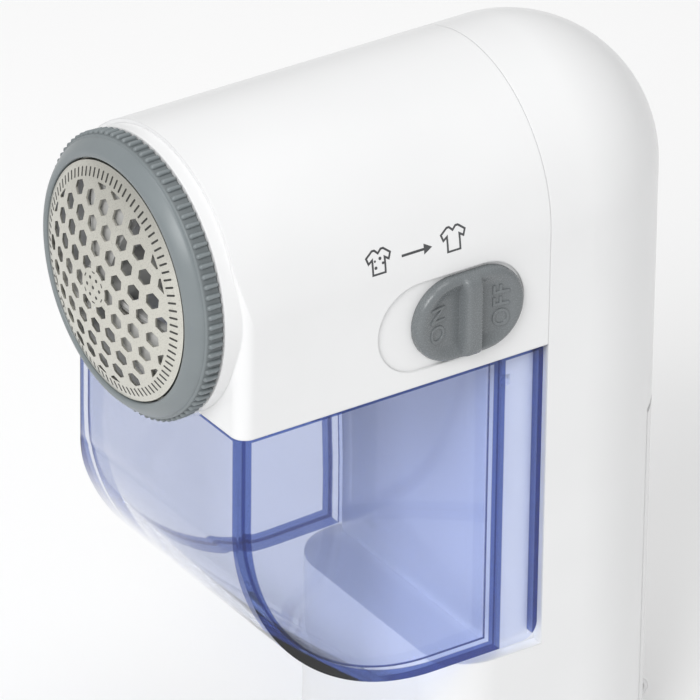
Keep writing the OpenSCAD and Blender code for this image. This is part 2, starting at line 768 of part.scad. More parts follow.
// ---- cells and wiring --------------------------------------------------------------------

module cell(y, up) in_head()
    translate([cell_x, y, up ? tray_ceiling - contact_t - cell_l : tray_floor + contact_t + cell_l])
    rotate([up ? 0 : 180, 0, 0]) {
        cylinder(r = cell_r, h = cell_l - nub_h);
        cylinder(r = 2.7, h = cell_l);
    }

module cell_a() color("seagreen") cell(-cell_y, true);
module cell_b() color("seagreen") cell(cell_y, false);

module battery_tray() color("whitesmoke") in_head() {
    block([tray_x0, -tray_hw - tray_t, tray_floor - tray_t],
          [tray_x0 + tray_t, tray_hw + tray_t, tray_ceiling + tray_t]);
    for (s = [-1, 1]) block([tray_x0, min(s * tray_hw, s * (tray_hw + tray_t)), tray_floor - tray_t],
                            [tray_x1, max(s * tray_hw, s * (tray_hw + tray_t)), tray_ceiling + tray_t]);
    block([tray_x0, -tray_hw - eps, tray_floor - tray_t], [tray_x1, tray_hw + eps, tray_floor]);
    block([tray_x0, -tray_hw - eps, tray_ceiling], [tray_x1, tray_hw + eps, tray_ceiling + tray_t]);
    block([tray_x0 + 1, -0.25, tray_floor - eps], [cell_x - bridge_hl, 0.25, tray_ceiling + eps]);
    // Legs that stand on the floor of the handle
    for (s = [-1, 1]) block([tray_x0, s * 10 - 1.5, base_z + wall],
                            [tray_x0 + 8, s * 10 + 1.5, tray_floor - tray_t + eps]);
}

module contact_bridge() color("silver") in_head()
    block([cell_x - bridge_hl, -tray_hw + 1, tray_floor],
          [cell_x + bridge_hl, tray_hw - 1, tray_floor + contact_t]);

module contact_plates() color("silver") in_head() for (s = [-1, 1]) {
    block([cell_x - 4, s * cell_y - 5, tray_ceiling - contact_t],
          [cell_x + 4, s * cell_y + 5, tray_ceiling]);
}

module cell_spring() coil(4.6, 3, tray_span - cell_l - 2 * contact_t, 2.5, 0.35);

module contact_springs() color("silver") in_head() {
    translate([cell_x, -cell_y, tray_floor + contact_t]) cell_spring();
    translate([cell_x, cell_y, tray_ceiling - contact_t]) mirror([0, 0, 1]) cell_spring();
}

module lead_red() color("red") in_head() wire_run([
    [lead_x, -8, lead_top - 6], [lead_x, -9, lead_top + 4], [lead_x, -12, -24],
    [lead_x - 1, -13, -14], [lead_x - 5, -13, -11], [switch_mid + 8, case_y1 + 3.5, knob_z - 1]], lead_r);

module lead_black() color([0.1, 0.1, 0.1]) in_head() wire_run([
    [lead_x, 8, lead_top - 6], [lead_x, 9, lead_top + 4], [lead_x, 11, -22],
    [lead_x - 1, 11, -12], [lead_x - 9, 10, -5], [tab_x, 7.8, -0.5]], lead_r);

module lead_motor() color("red") in_head() wire_run([
    [switch_mid + 0.5, case_y1 + 3.5, knob_z + 1], [tab_x, -11.4, -4.2], [tab_x, -7.8, -0.8]], lead_r);

module housing_screws() color("silver") in_head() for (s = [-1, 1])
    screw_x(parting_x + flange_t, s * post_y, post_z, screw_r, screw_head_r, 1.3, flange_t + post_l - 2, -1);

head_housing();
handle_shell();
battery_cover();
cover_hinge_pin();
head_ring();
foil();
foil_clamp_ring();
cutter_carrier();
cutter_blades();
cutter_spring();
drive_shaft();
motor_can();
motor_magnets();
armature_core();
armature_windings();
commutator();
motor_end_cap();
motor_brushes();
motor_bushes();
motor_bulkhead();
motor_screws();
bulkhead_screws();
switch_knob();
switch_slider();
switch_case();
switch_terminals();
lint_container();
cell_a();
cell_b();
battery_tray();
contact_bridge();
contact_plates();
contact_springs();
lead_red();
lead_black();
lead_motor();
housing_screws();
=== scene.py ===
"""Finishes and small parts of a battery fabric shaver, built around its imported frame."""
import math

import bmesh
import bpy
from bpy.props import BoolProperty, FloatProperty, FloatVectorProperty, IntProperty, PointerProperty
from mathutils import Matrix, Quaternion, Vector


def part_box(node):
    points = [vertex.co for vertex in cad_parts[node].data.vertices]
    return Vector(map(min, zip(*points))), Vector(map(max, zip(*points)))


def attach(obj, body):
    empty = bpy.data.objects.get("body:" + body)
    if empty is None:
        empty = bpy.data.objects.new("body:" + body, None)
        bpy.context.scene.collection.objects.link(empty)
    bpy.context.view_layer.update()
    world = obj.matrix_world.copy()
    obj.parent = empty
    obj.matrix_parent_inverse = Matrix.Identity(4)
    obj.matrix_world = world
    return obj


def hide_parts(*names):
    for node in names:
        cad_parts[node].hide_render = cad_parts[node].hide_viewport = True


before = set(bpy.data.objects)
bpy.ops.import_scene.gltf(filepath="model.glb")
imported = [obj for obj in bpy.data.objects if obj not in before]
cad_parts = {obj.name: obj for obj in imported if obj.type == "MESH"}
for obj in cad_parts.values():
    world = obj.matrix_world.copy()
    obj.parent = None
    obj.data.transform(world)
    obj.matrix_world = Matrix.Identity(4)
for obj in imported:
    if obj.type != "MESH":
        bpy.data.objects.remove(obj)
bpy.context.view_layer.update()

bl_info = {
    "name": "Fabric shaver",
    "version": (1, 0, 0),
    "blender": (4, 5, 0),
    "location": "View3D > Sidebar > Shaver",
    "description": "Builds the ring, knob, container and finishes of a fabric shaver on its frame",
    "category": "Object",
}

MM = 0.001
PRINT_STEP = 0.4

# The head's own frame: X runs back from the foil's rim, Y and Z cross at the head's axis
RING_LOW, RING_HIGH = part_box("head_ring")
LIP_PROUD = 0.2
RIM_X = RING_LOW.x + LIP_PROUD * MM
AXIS_Z = (RING_LOW.z + RING_HIGH.z) / 2
HEAD = Matrix.Translation((RIM_X, 0, AXIS_Z)) @ Matrix.Diagonal((MM, MM, MM, 1))

RING_R = (RING_HIGH.y - RING_LOW.y) / 2 / MM
RING_BACK = (RING_HIGH.x - RIM_X) / MM
FOIL_RISE = (RIM_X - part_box("foil")[0].x) / MM
FOIL_R = 20.0
DOME_R = (FOIL_R ** 2 + FOIL_RISE ** 2) / (2 * FOIL_RISE)
BODY_LOW, BODY_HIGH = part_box("handle_shell")
BODY_R = (BODY_HIGH.y - BODY_LOW.y) / 2 / MM

# The container's wall, the radius of its round front, and its cheeks behind the rear wall
TUB_WALL = 2.1
TUB_NOSE = 38.3
CHEEK_LENGTH = 7.5

# Distances of the foil's marks from its centre
SLIT_AT = 18.3
DOTS_AT = 1.75
DASHES_AT = 2.7

# The knob: the height of its rim, half its rib's width, its stem and the places of its words
KNOB_PROUD = 2.0
KNOB_RIM = 1.3
RIB_HALF = 1.7
STEM = (6, 4.4, 2.2)
WORDS = (("ON", -6.2), ("OFF", 6.1))

# The printed sign: its foot above the head's axis, and the places of its shirts and arrow
SIGN_FOOT = 2.3
SHIRTS_AT = (34.2, 48.6)
ARROW_AT, ARROW_LENGTH, ARROW_TIP = 40.8, 4.4, 43.4
INK_DEPTH = 0.04

AIM = Vector((-0.0467, -0.0254, 0.1028))


def head_box(node):
    """A node's lowest and highest corners in the head's frame, in mm."""
    low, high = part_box(node)
    return HEAD.inverted() @ low, HEAD.inverted() @ high


# ---- shader kit ---------------------------------------------------------------------------


class Field:
    """A socket of a material's node tree. Python sums on it add Math nodes."""

    def __init__(self, tree, socket=None):
        self.tree, self.socket = tree, socket

    def add(self, kind, settings=None, sockets=None, out=0):
        """Adds one node: its settings first, then the values or links of its sockets."""
        node = self.tree.nodes.new(kind)
        for name, value in (settings or {}).items():
            setattr(node, name, value)
        for name, value in (sockets or {}).items():
            if isinstance(value, Field):
                self.tree.links.new(value.socket, node.inputs[name])
            else:
                node.inputs[name].default_value = value
        return Field(self.tree, node.outputs[out])

    def _sum(self, operation, a, b):
        return self.add("ShaderNodeMath", {"operation": operation}, {0: a, 1: b})

    def __add__(self, other):
        return self._sum("ADD", self, other)

    __radd__ = __add__

    def __sub__(self, other):
        return self._sum("SUBTRACT", self, other)

    def __rsub__(self, other):
        return self._sum("SUBTRACT", other, self)

    def __mul__(self, other):
        return self._sum("MULTIPLY", self, other)

    __rmul__ = __mul__

    def __gt__(self, other):
        return self._sum("GREATER_THAN", self, other)

    def __lt__(self, other):
        return self._sum("LESS_THAN", self, other)

    def least(self, other):
        return self._sum("MINIMUM", self, other)

    def most(self, other):
        return self._sum("MAXIMUM", self, other)

    def size(self):
        return self.add("ShaderNodeMath", {"operation": "ABSOLUTE"}, {0: self})

    def root(self):
        return self.add("ShaderNodeMath", {"operation": "SQRT"}, {0: self})

    def step(self, low, high, start=0.0, end=1.0):
        """This value mapped smoothly from low..high to start..end, and held beyond."""
        return self.add("ShaderNodeMapRange", {"interpolation_type": "SMOOTHSTEP"},
                        {0: self, 1: low, 2: high, 3: start, 4: end})


def rgba(colour):
    return (colour[0], colour[1], colour[2], 1.0)


def shade(colour, factor):
    return tuple(min(1.0, c * factor) for c in colour[:3])


class Finish:
    """One material: a Principled shader and the fields that drive it."""

    def __init__(self, name, **constants):
        self.material = bpy.data.materials.new(name)
        self.material.use_nodes = True
        self.tree = self.material.node_tree
        self.shader = self.tree.nodes["Principled BSDF"]
        self.kit = Field(self.tree)
        for socket, value in constants.items():
            self.shader.inputs[socket.replace("_", " ")].default_value = value
        self.place = self.kit.add("ShaderNodeTexCoord", out="Object")

    def axes(self):
        """The place's X, Y and Z in the head's frame, in mm."""
        moved = self.kit.add("ShaderNodeVectorMath", {"operation": "SUBTRACT"},
                             {0: self.place, 1: (RIM_X, 0, AXIS_Z)})
        split = self.kit.add("ShaderNodeSeparateXYZ", None, {0: moved}).socket.node
        return [Field(self.tree, split.outputs[i]) * (1 / MM) for i in range(3)]

    def noise(self, grain, detail=3.0, rough=0.55, stretch=(1, 1, 1)):
        """Soft noise, with grain in mm, drawn out along an axis by a small stretch factor."""
        place = self.kit.add("ShaderNodeMapping", {"vector_type": "TEXTURE"},
                             {"Vector": self.place, "Scale": tuple(1 / s for s in stretch)})
        return self.kit.add("ShaderNodeTexNoise", None, {
            "Vector": place, "Scale": 1 / (grain * MM), "Detail": detail, "Roughness": rough})

    def cells(self, grain):
        """Random grey cells, with grain in mm."""
        return self.kit.add("ShaderNodeTexVoronoi", None, {
            "Vector": self.place, "Scale": 1 / (grain * MM)})

    def bands(self, direction, pitch, waver=0.0):
        """Bands across an axis, with their pitch in mm."""
        return self.kit.add(
            "ShaderNodeTexWave", {"wave_type": "BANDS", "bands_direction": direction},
            {"Vector": self.place, "Scale": 2 * math.pi / (20 * pitch * MM), "Distortion": waver,
             "Detail": 1.0}, out="Fac")

    def blend(self, factor, first, second):
        """A mix of two colours, each a tuple or a field."""
        a, b = (rgba(c) if isinstance(c, tuple) else c for c in (first, second))
        return self.kit.add("ShaderNodeMix", {"data_type": "RGBA"}, {0: factor, 6: a, 7: b}, out=2)

    def drive(self, socket, field):
        self.tree.links.new(field.socket, self.shader.inputs[socket])

    def relief(self, height, depth, edge=0.0):
        """Bumps of a depth in mm, over edges rounded by a radius in mm."""
        sockets = {"Height": height, "Distance": depth * MM, "Strength": 1.0}
        if edge:
            sockets["Normal"] = self.kit.add("ShaderNodeBevel", {"samples": 6}, {"Radius": edge * MM})
        self.drive("Normal", self.kit.add("ShaderNodeBump", None, sockets))


def moulded_plastic(name, colour, roughness, grain=0.25, depth=0.004, edge=0.0, mottle=0.04):
    """Injection moulded plastic: flow mottle, fine texture and slight gloss changes."""
    finish = Finish(name, IOR=1.5)
    flow = finish.noise(14.0, 2.0, 0.5)
    fine = finish.noise(grain, 4.0, 0.6)
    scuff = finish.noise(1.6, 5.0, 0.7, (1, 1, 0.35)).step(0.62, 0.8)
    body = finish.blend(flow.step(0.3, 0.7), shade(colour, 1 - mottle), shade(colour, 1 + mottle))
    finish.drive("Base Color", finish.blend(scuff * 0.12, body, shade(colour, 0.8)))
    finish.drive("Roughness", roughness + (fine - 0.5) * 0.08 + scuff * 0.06)
    finish.relief(fine, depth, edge)
    return finish


def worked_metal(name, colour, roughness, lines=(0.12, "X"), depth=0.003, tarnish=0.18):
    """Plated or ground metal: fine lines, cloudy tarnish and uneven gloss."""
    finish = Finish(name, Metallic=1.0)
    along = {"X": (0.04, 1, 1), "Y": (1, 0.04, 1), "Z": (1, 1, 0.04), "": (1, 1, 1)}[lines[1]]
    drawn = finish.noise(lines[0], 3.0, 0.6, along)
    cloud = finish.noise(3.2, 4.0, 0.6)
    body = finish.blend(cloud.step(0.35, 0.75), colour, shade(colour, 1 - tarnish))
    finish.drive("Base Color", finish.blend(drawn.step(0.5, 0.8, 0, 0.35), body, shade(colour, 0.72)))
    finish.drive("Roughness", roughness + (drawn - 0.5) * 0.22 + (cloud - 0.5) * 0.12)
    finish.relief(drawn, depth)
    return finish


def white_shell(settings):
    """Glossy white plastic with a faint orange peel and softly rounded edges."""
    finish = Finish("white_gloss_plastic", IOR=1.5, Coat_Weight=0.18, Coat_Roughness=0.1)
    flow = finish.noise(26.0, 2.0, 0.5)
    peel = finish.noise(2.2, 2.0, 0.45)
    dust = finish.noise(0.5, 4.0, 0.7).step(0.7, 0.86)
    white = tuple(settings.colour)
    body = finish.blend(flow.step(0.3, 0.7), shade(white, 0.985), shade(white, 1.01))
    finish.drive("Base Color", finish.blend(dust * 0.03, body, shade(white, 0.8)))
    finish.drive("Roughness", settings.roughness + (flow - 0.5) * 0.06 + (peel - 0.5) * 0.03)
    finish.relief(peel, 0.003, settings.edge / MM)
    return finish


def ribbed_ring(settings):
    """Satin grey plastic with painted shade in the grooves below the ribs' tops."""
    finish = Finish("grey_ring_plastic", IOR=1.48)
    x, y, z = finish.axes()
    radius = (y * y + z * z).root()
    # painted shade: the grooves between the ribs are darkened, and made a little rougher too
    groove_shade = radius.step(RING_R - settings.rib_height / MM - 0.12, RING_R - 0.12, 1.0, 0.0)
    groove_shade = groove_shade * x.step(2.0, 2.5)
    fine = finish.noise(0.3, 4.0, 0.6)
    flow = finish.noise(6.0, 3.0, 0.5)
    grey = tuple(settings.colour)
    body = finish.blend(flow, shade(grey, 0.93), shade(grey, 1.07))
    finish.drive("Base Color", finish.blend(groove_shade * 0.55, body, shade(grey, 0.45)))
    finish.drive("Roughness", 0.36 + groove_shade * 0.2 + (fine - 0.5) * 0.1)
    finish.relief(fine, 0.004)
    return finish


def etched_foil(settings):
    """Thin stainless foil with a fine etched grain, brighter where it is rubbed."""
    finish = Finish("foil_etched_steel", Metallic=1.0)
    x, y, z = finish.axes()
    radius = (y * y + z * z).root()
    grain = finish.noise(0.22, 5.0, 0.7)
    cloud = finish.noise(4.0, 3.0, 0.5)
    rubbed = radius.step(16.5, 19.5)
    steel = tuple(settings.colour)
    body = finish.blend(cloud, shade(steel, 0.92), shade(steel, 1.06))
    finish.drive("Base Color", finish.blend(grain.step(0.48, 0.68, 0, 0.45), body, shade(steel, 0.55)))
    finish.drive("Roughness", 0.42 - rubbed * 0.1 + (grain - 0.5) * 0.3)
    finish.relief(grain, 0.014)
    return finish


def stacked_laminations():
    """Punched iron sheets, one on another along the shaft."""
    finish = Finish("stacked_laminations", Metallic=0.85)
    sheets = finish.bands("X", 0.5)
    rust = finish.noise(1.1, 5.0, 0.7).step(0.58, 0.8)
    body = finish.blend(sheets.step(0.2, 0.5), (0.1, 0.1, 0.11), (0.34, 0.34, 0.36))
    finish.drive("Base Color", finish.blend(rust * 0.3, body, (0.2, 0.1, 0.05)))
    finish.drive("Roughness", 0.42 + rust * 0.25)
    finish.relief(sheets, 0.03)
    return finish


def wound_copper():
    """Enamelled copper turns lying side by side, with painted shade in the creases between them."""
    finish = Finish("wound_copper_wire", Metallic=1.0, Coat_Weight=0.6, Coat_Roughness=0.15)
    turns = finish.bands("X", 0.32, 0.4)
    tone = finish.noise(1.3, 3.0, 0.5)
    body = finish.blend(tone, (0.52, 0.17, 0.06), (0.78, 0.34, 0.14))
    # painted shade: darker copper in the creases between the turns
    finish.drive("Base Color", finish.blend(turns.step(0.0, 0.4), (0.12, 0.035, 0.015), body))
    finish.drive("Roughness", 0.24 + (tone - 0.5) * 0.15)
    finish.relief(turns, 0.12)
    return finish


def ferrite():
    """Sintered ferrite: near black, dull and speckled."""
    finish = Finish("sintered_ferrite")
    speck = finish.cells(0.25)
    grit = finish.noise(0.4, 5.0, 0.7)
    finish.drive("Base Color", finish.blend(speck.step(0.1, 0.6), (0.085, 0.083, 0.08), (0.03, 0.03, 0.032)))
    finish.drive("Roughness", 0.62 + (grit - 0.5) * 0.3)
    finish.relief(grit, 0.02)
    return finish


def cell_sleeve():
    """A cell's printed sleeve: dark body, a pale end band and bare metal at both ends."""
    finish = Finish("printed_cell_sleeve", Coat_Weight=0.35, Coat_Roughness=0.12)
    low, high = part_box("cell_a")
    _, _, z = finish.axes()
    base, top = ((v.z - AXIS_Z) / MM for v in (low, high))
    band = (z > top - 14.0) * (z < top - 2.6)
    bare = (z > top - 2.0) + (z < base + 0.9)
    scratch = finish.noise(0.5, 4.0, 0.7, (1, 1, 0.1)).step(0.6, 0.85)
    print_ = finish.blend(band, (0.012, 0.06, 0.035), (0.5, 0.46, 0.3))
    body = finish.blend(bare, print_, (0.6, 0.6, 0.58))
    finish.drive("Base Color", finish.blend(scratch * 0.15, body, (0.4, 0.4, 0.4)))
    finish.drive("Metallic", bare.step(0, 1, 0.15, 1.0))
    finish.drive("Roughness", 0.28 + scratch * 0.25)
    finish.relief(scratch, 0.01)
    return finish


def clear_container(settings):
    """Clear tinted plastic: pale through a wall, deep blue where a wall is met end on, with painted shade at
    the front and painted light towards the rear.
    """
    finish = Finish("clear_blue_plastic", IOR=1.04, Transmission_Weight=1.0, Coat_Weight=1.0,
                    Coat_Roughness=0.03)
    low, high = head_box("lint_container")
    x, y, z = finish.axes()
    ahead = (x - (low.x + TUB_NOSE)).least(0)
    below = (z - (low.z + TUB_NOSE)).least(0)
    inwards = (TUB_NOSE - (ahead * ahead + below * below).root()).least(high.x - CHEEK_LENGTH - x)
    corner = inwards.step(TUB_WALL, TUB_WALL + 0.25, 1, 0) * inwards.step(-0.2, 0, 0, 1)
    corner = corner * y.size().step(BODY_R - TUB_WALL - 0.25, BODY_R - TUB_WALL)
    end_on = corner.most(x.step(high.x - 1.0, high.x - 0.8)).most(z.step(high.z - 0.35, high.z - 0.25))
    haze = finish.noise(5.0, 4.0, 0.6)
    clouds = finish.noise(17.0, 2.0, 0.5)
    # painted light: the tint is lighter towards the rear; the front is a slightly darker copy, painted shade
    # in soft random clouds
    rear_painted_light = x.step(low.x + TUB_NOSE * 0.6, low.x + TUB_NOSE * 0.9)
    front_shade_clouds = finish.blend(clouds, shade(settings.tint, 0.94), shade(settings.tint, 0.99))
    pale = finish.blend(rear_painted_light, front_shade_clouds, shade(settings.tint, 1.16))
    finish.drive("Base Color", finish.blend(end_on, pale, tuple(settings.edge_tint)))
    scratch = finish.noise(0.7, 4.0, 0.7, (1, 1, 0.12)).step(0.66, 0.86)
    finish.drive("Roughness", 0.02 + haze * 0.05 + scratch * 0.06)
    finish.relief(haze, 0.02)
    lit = finish.kit.add("ShaderNodeLightPath", out="Is Shadow Ray")
    clear = finish.kit.add("ShaderNodeBsdfTransparent", None, {"Color": rgba(settings.lamp_tint)})
    glass = Field(finish.tree, finish.shader.outputs["BSDF"])
    walls = finish.kit.add("ShaderNodeMixShader", None, {0: lit, 1: glass, 2: clear})
    output = finish.tree.nodes["Material Output"]
    finish.tree.links.new(walls.socket, output.inputs["Surface"])
    return finish


def insulation(name, colour):
    """Soft extruded insulation with a waxy, slightly streaked skin."""
    finish = Finish(name, IOR=1.46, Specular_IOR_Level=0.4)
    streak = finish.noise(0.6, 3.0, 0.6, (1, 1, 0.2))
    finish.drive("Base Color", finish.blend(streak, shade(colour, 0.75), shade(colour, 1.2)))
    finish.drive("Roughness", 0.4 + (streak - 0.5) * 0.25)
    finish.relief(streak, 0.02)
    return finish


def give(finish, *objects):
    """Puts a finish on each object in place of what it has."""
    for obj in objects:
        obj.data.materials.clear()
        obj.data.materials.append(finish.material)


# ---- mesh kit -----------------------------------------------------------------------------


def finished_piece(name, bm, body, finish, smooth=math.radians(32), replaces=()):
    """Turns a bmesh in the head's frame into a piece that rides on a body."""
    bmesh.ops.transform(bm, matrix=HEAD, verts=bm.verts)
    mesh = bpy.data.meshes.new(name)
    bm.to_mesh(mesh)
    bm.free()
    if not mesh.polygons:
        raise RuntimeError(f"{name} came out empty")
    obj = bpy.data.objects.new(name, mesh)
    bpy.context.scene.collection.objects.link(obj)
    mesh.shade_smooth()
    if smooth < math.pi:
        mesh.set_sharp_from_angle(angle=smooth)
    give(finish, obj)
    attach(obj, body)
    if replaces:
        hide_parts(*replaces)
    return obj


def add_copies(bm, source, count, turn=0.0):
    """Adds count copies of a small bmesh, spread evenly round the head's axis."""
    mesh = bpy.data.meshes.new("copy")
    for i in range(count):
        one = source.copy()
        spin = Matrix.Rotation(turn + 2 * math.pi * i / count, 4, "X")
        bmesh.ops.transform(one, matrix=spin, verts=one.verts)
        one.to_mesh(mesh)
        bm.from_mesh(mesh)
        one.free()
    bpy.data.meshes.remove(mesh)
    source.free()


def lathe(points, steps):
    """Spins a closed outline of (x, radius) points into a ring round the head's axis."""
    bm = bmesh.new()
    verts = [bm.verts.new((x, 0, r)) for x, r in points]
    edges = [bm.edges.new((a, b)) for a, b in zip(verts, verts[1:] + verts[:1])]
    bmesh.ops.spin(bm, geom=verts + edges, cent=(0, 0, 0), axis=(1, 0, 0), angle=2 * math.pi,
                   steps=steps, use_merge=True)
    bmesh.ops.recalc_face_normals(bm, faces=bm.faces)
    return bm


def round_edges(bm, edges, width, segments=3):
    bmesh.ops.bevel(bm, geom=edges, offset=width, offset_type="OFFSET", affect="EDGES",
                    segments=segments, profile=0.5, material=-1, clamp_overlap=True)


def dome_x(radius):
    """X of the foil's outside at a distance from the head's axis."""
    return DOME_R - FOIL_RISE - math.sqrt(DOME_R ** 2 - radius ** 2)


# ---- settings -----------------------------------------------------------------------------


def colour_property(name, description, default):
    return FloatVectorProperty(name=name, description=description, default=default,
                               subtype="COLOR", size=3, min=0, max=1)


class ShellSettings(bpy.types.PropertyGroup):
    colour: colour_property("Colour", "Colour of the white shells", (0.8, 0.803, 0.806))
    roughness: FloatProperty(name="Roughness", description="Roughness of the shells", default=0.3,
                             min=0, max=1, subtype="FACTOR")
    edge: FloatProperty(name="Edge", description="Radius that the shells' edges look rounded by",
                        default=0.4 * MM, unit="LENGTH")


class RingSettings(bpy.types.PropertyGroup):
    colour: colour_property("Colour", "Colour of the ring", (0.19, 0.215, 0.224))
    ribs: IntProperty(name="Ribs", description="Number of grip ribs round the ring", default=88, min=12)
    rib_width: FloatProperty(name="Rib width", description="Width of one rib", default=0.98 * MM,
                             unit="LENGTH")
    rib_height: FloatProperty(name="Rib height", description="How far the ribs stand out",
                              default=0.62 * MM, unit="LENGTH")


class FoilSettings(bpy.types.PropertyGroup):
    colour: colour_property("Colour", "Colour of the foil's steel", (0.66, 0.65, 0.59))
    slits: IntProperty(name="Slits", description="Number of pressed slits round the rim", default=90)
    slit_length: FloatProperty(name="Slit length", description="Length of one slit",
                               default=1.5 * MM, unit="LENGTH")
    dots: IntProperty(name="Dots", description="Number of pin holes in the rosette", default=6)


class KnobSettings(bpy.types.PropertyGroup):
    colour: colour_property("Colour", "Colour of the switch knob", (0.157, 0.171, 0.178))
    scoop: FloatProperty(name="Scoop", description="Depth of the scoops beside the finger rib",
                         default=1.15 * MM, unit="LENGTH")
    letters: BoolProperty(name="Letters", description="Raise ON and OFF on the scoops", default=True)
    letter_height: FloatProperty(name="Letter height", description="Height of the raised letters",
                                 default=3.0 * MM, unit="LENGTH")


class ContainerSettings(bpy.types.PropertyGroup):
    tint: colour_property("Tint", "Colour that light takes through one wall", (0.7, 0.735, 0.85))
    edge_tint: colour_property("Edge tint", "Colour of a wall met end on", (0.02, 0.045, 0.26))
    lamp_tint: colour_property("Lamp tint", "Colour of lamp light past one face", (0.9, 0.93, 1.0))
    edge: FloatProperty(name="Edge", description="Radius of the moulded edges", default=0.45 * MM,
                        unit="LENGTH")


class PrintSettings(bpy.types.PropertyGroup):
    colour: colour_property("Colour", "Colour of the printed sign", (0.06, 0.062, 0.066))
    height: FloatProperty(name="Height", description="Height of the printed sign", default=4.4 * MM,
                          unit="LENGTH")


class StageSettings(bpy.types.PropertyGroup):
    floor: colour_property("Floor", "Colour of the floor", (0.94, 0.94, 0.94))
    azimuth: FloatProperty(name="Azimuth", description="Way the camera looks, from the +Y axis",
                           default=math.radians(34.17), subtype="ANGLE")
    elevation: FloatProperty(name="Elevation", description="Height of the camera's view",
                             default=math.radians(29.56), subtype="ANGLE")
    roll: FloatProperty(name="Roll", description="Turn of the camera about its view",
                        default=math.radians(0.73), subtype="ANGLE")
    distance: FloatProperty(name="Distance", description="Distance from the camera to its aim",
                            default=1.5047, unit="LENGTH")
    lens: FloatProperty(name="Lens", description="Focal length in mm on a 36 mm sensor", default=485.7)


# ---- pieces -------------------------------------------------------------------------------


class SHAVER_OT_shells(bpy.types.Operator):
    """Finish the white housing, handle and battery cover"""
    bl_idname = "shaver.shells"
    bl_label = "White shells"

    def execute(self, context):
        finish = white_shell(context.scene.shaver_shells)
        give(finish, *(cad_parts[n] for n in ("head_housing", "handle_shell", "battery_cover")))
        return {"FINISHED"}


class SHAVER_OT_ring(bpy.types.Operator):
    """Turn the grey ring and set its grip ribs"""
    bl_idname = "shaver.ring"
    bl_label = "Grip ring"

    def execute(self, context):
        settings = context.scene.shaver_ring
        height, width = settings.rib_height / MM, settings.rib_width / MM
        ground = RING_R - height
        inner, bore, shoulder = FOIL_R + 0.3, FOIL_R + 1.6, 2.0
        bm = lathe([
            (0.45, inner), (0.1, inner + 0.03), (-0.1, inner + 0.15), (-LIP_PROUD, inner + 0.4),
            (-LIP_PROUD, inner + 0.75), (-0.1, inner + 1.1), (0.2, inner + 1.5), (0.7, inner + 2.0),
            (1.15, inner + 2.4), (1.5, ground - 0.62), (1.85, ground - 0.42), (2.02, ground - 0.4),
            (2.14, ground - 0.12), (2.3, ground), (RING_BACK - 0.25, ground),
            (RING_BACK, ground - 0.25), (RING_BACK, bore), (shoulder, bore), (shoulder, inner)],
            settings.ribs * 2)
        rib = bmesh.new()
        bmesh.ops.create_uvsphere(rib, u_segments=8, v_segments=6, radius=width / 2)
        for v in rib.verts:
            v.co.z *= height * 2.2 / width
        front, back = 2.3 + width / 2, RING_BACK - 0.1 - width / 2
        for v in rib.verts:
            v.co.x = front + v.co.x if v.co.x < 0.01 else back + v.co.x
        bmesh.ops.translate(rib, verts=rib.verts, vec=(0, 0, RING_R - height * 1.1))
        add_copies(bm, rib, settings.ribs)
        finished_piece("grip_ring", bm, "ring", ribbed_ring(settings),
                       smooth=math.radians(40), replaces=("head_ring",))
        return {"FINISHED"}


class SHAVER_OT_foil(bpy.types.Operator):
    """Finish the foil, and press the slits round its rim and the dots of its rosette"""
    bl_idname = "shaver.foil"
    bl_label = "Foil"

    def execute(self, context):
        settings = context.scene.shaver_foil
        steel = etched_foil(settings)
        give(steel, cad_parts["foil"])
        dark = worked_metal("foil_slit_shadow", (0.1, 0.1, 0.095), 0.55, (0.1, ""), tarnish=0.3)
        slits = bmesh.new()
        one = bmesh.new()
        bmesh.ops.create_cube(one, size=1.0)
        bmesh.ops.scale(one, vec=(0.12, 0.34, settings.slit_length / MM), verts=one.verts)
        round_edges(one, [e for e in one.edges if abs(e.verts[0].co.x - e.verts[1].co.x) > 0.05],
                    0.15, 2)
        for v in one.verts:
            v.co.x += dome_x(SLIT_AT + v.co.z) + 0.03
            v.co.z += SLIT_AT
        add_copies(slits, one, settings.slits)
        finished_piece("foil_slits", slits, "foil_unit", dark)
        dots = bmesh.new()
        for ring, count, size, proud in ((0.0, 1, 0.32, 0.004), (DOTS_AT, settings.dots, 0.3, 0.02)):
            dot = bmesh.new()
            bmesh.ops.create_circle(dot, cap_ends=True, segments=12, radius=size)
            bmesh.ops.rotate(dot, verts=dot.verts, cent=(0, 0, 0),
                             matrix=Matrix.Rotation(-math.pi / 2, 3, "Y"))
            bmesh.ops.translate(dot, verts=dot.verts, vec=(dome_x(ring) - proud, 0, ring))
            faces = bmesh.ops.extrude_face_region(dot, geom=dot.faces[:])["geom"]
            bmesh.ops.translate(dot, verts=[g for g in faces if isinstance(g, bmesh.types.BMVert)],
                                vec=(0.1, 0, 0))
            bmesh.ops.recalc_face_normals(dot, faces=dot.faces)
            add_copies(dots, dot, count, math.pi / 6)
        dash = bmesh.new()
        bmesh.ops.create_cube(dash, size=1.0)
        bmesh.ops.scale(dash, vec=(0.1, 0.75, 0.2), verts=dash.verts)
        bmesh.ops.translate(dash, vec=(dome_x(DASHES_AT) + 0.03, 0, DASHES_AT), verts=dash.verts)
        add_copies(dots, dash, settings.dots)
        finished_piece("foil_rosette_dots", dots, "foil_unit", dark)
        return {"FINISHED"}


